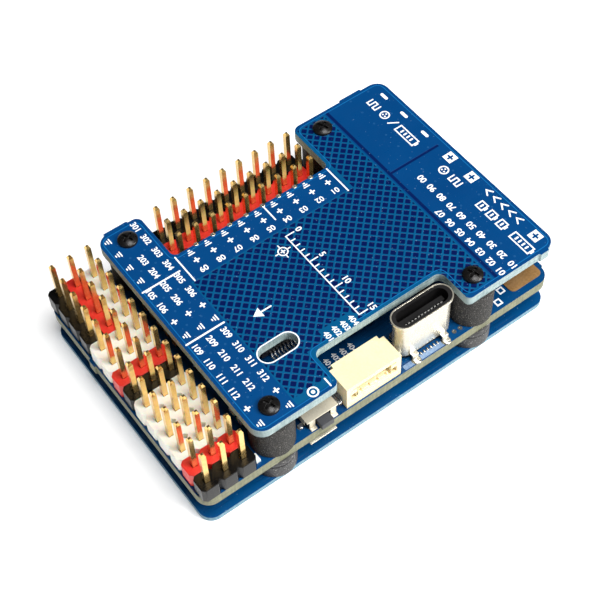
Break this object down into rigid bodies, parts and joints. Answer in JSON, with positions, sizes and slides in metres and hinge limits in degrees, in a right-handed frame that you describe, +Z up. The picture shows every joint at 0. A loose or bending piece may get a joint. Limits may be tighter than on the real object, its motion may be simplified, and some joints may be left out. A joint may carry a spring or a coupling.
{
  "type": "flight controller board",
  "caption": "Stacked circuit boards on rubber sleeves with coloured pin headers, a USB-C socket, a side connector and a sprung boot button.",
  "frame": {"origin": "centre of the base board's underside", "axes": "+X along the boards away from the serial header, +Y across towards the servo header, +Z up through the stack"},
  "size_m": [0.054, 0.0363, 0.0141],
  "materials": {
    "blue_board": "glossy blue solder mask over glass fibre laminate",
    "screw_black": "black oxide, oily sheen",
    "spacer_brass": "turned brass",
    "sleeve_rubber": "rough moulded rubber",
    "grommet_rubber": "smooth matt rubber",
    "black_plastic": "moulded nylon",
    "red_plastic": "moulded nylon",
    "white_plastic": "moulded nylon",
    "pin_gold": "gold flashed square wire",
    "tin": "tin plated",
    "nickel": "nickel plated sheet",
    "cream_plastic": "moulded nylon, natural",
    "insulator_black": "moulded black insulator",
    "plunger_grey": "moulded grey plastic",
    "chip_black": "moulded epoxy package",
    "ferrite": "pressed ferrite powder",
    "ceramic_tan": "ceramic chip capacitor body",
    "shunt_metal": "resistive alloy strip",
    "copper_pad": "gold flashed copper pad",
    "led_white": "diffuse resin"
  },
  "bodies": {
    "board_stack": {"base_board": "blue_board", "main_board": "blue_board", "top_board": "blue_board", "corner_screws": "screw_black", "threaded_spacers": "spacer_brass", "upper_sleeves": "sleeve_rubber", "grommet_rings": "grommet_rubber", "lower_grommets": "grommet_rubber", "serial_header_black": "black_plastic", "serial_header_red": "red_plastic", "serial_header_white": "white_plastic", "serial_header_pins": "pin_gold", "servo_header_black": "black_plastic", "servo_header_red": "red_plastic", "servo_header_white": "white_plastic", "servo_header_pins": "pin_gold", "board_link_pins": "tin", "usb_shell": "nickel", "usb_insulator": "insulator_black", "usb_contacts": "tin", "connector_housing": "cream_plastic", "connector_contacts": "tin", "connector_anchors": "tin", "boot_button_base": "black_plastic", "boot_button_cover": "nickel", "boot_button_dome": "nickel", "boot_button_terminals": "tin", "card_socket_base": "black_plastic", "card_socket_shell": "nickel", "card_socket_contacts": "pin_gold", "processor": "chip_black", "processor_leads": "tin", "motion_sensor": "chip_black", "pressure_sensor": "nickel", "video_chip": "chip_black", "video_chip_leads": "tin", "crystal": "nickel", "regulator_chips": "chip_black", "power_inductors": "ferrite", "capacitors": "ceramic_tan", "resistors": "chip_black", "current_shunt": "shunt_metal", "battery_pads": "copper_pad", "status_leds": "led_white"},
    "boot_plunger": {"boot_button_plunger": "plunger_grey"}
  },
  "joints": [
    {"name": "boot_press", "type": "slide", "parent": "board_stack", "child": "boot_plunger", "axis": [0, 1, 0], "range_m": [0, 0.00025], "stiffness_N_per_m": 6000}
  ]
}
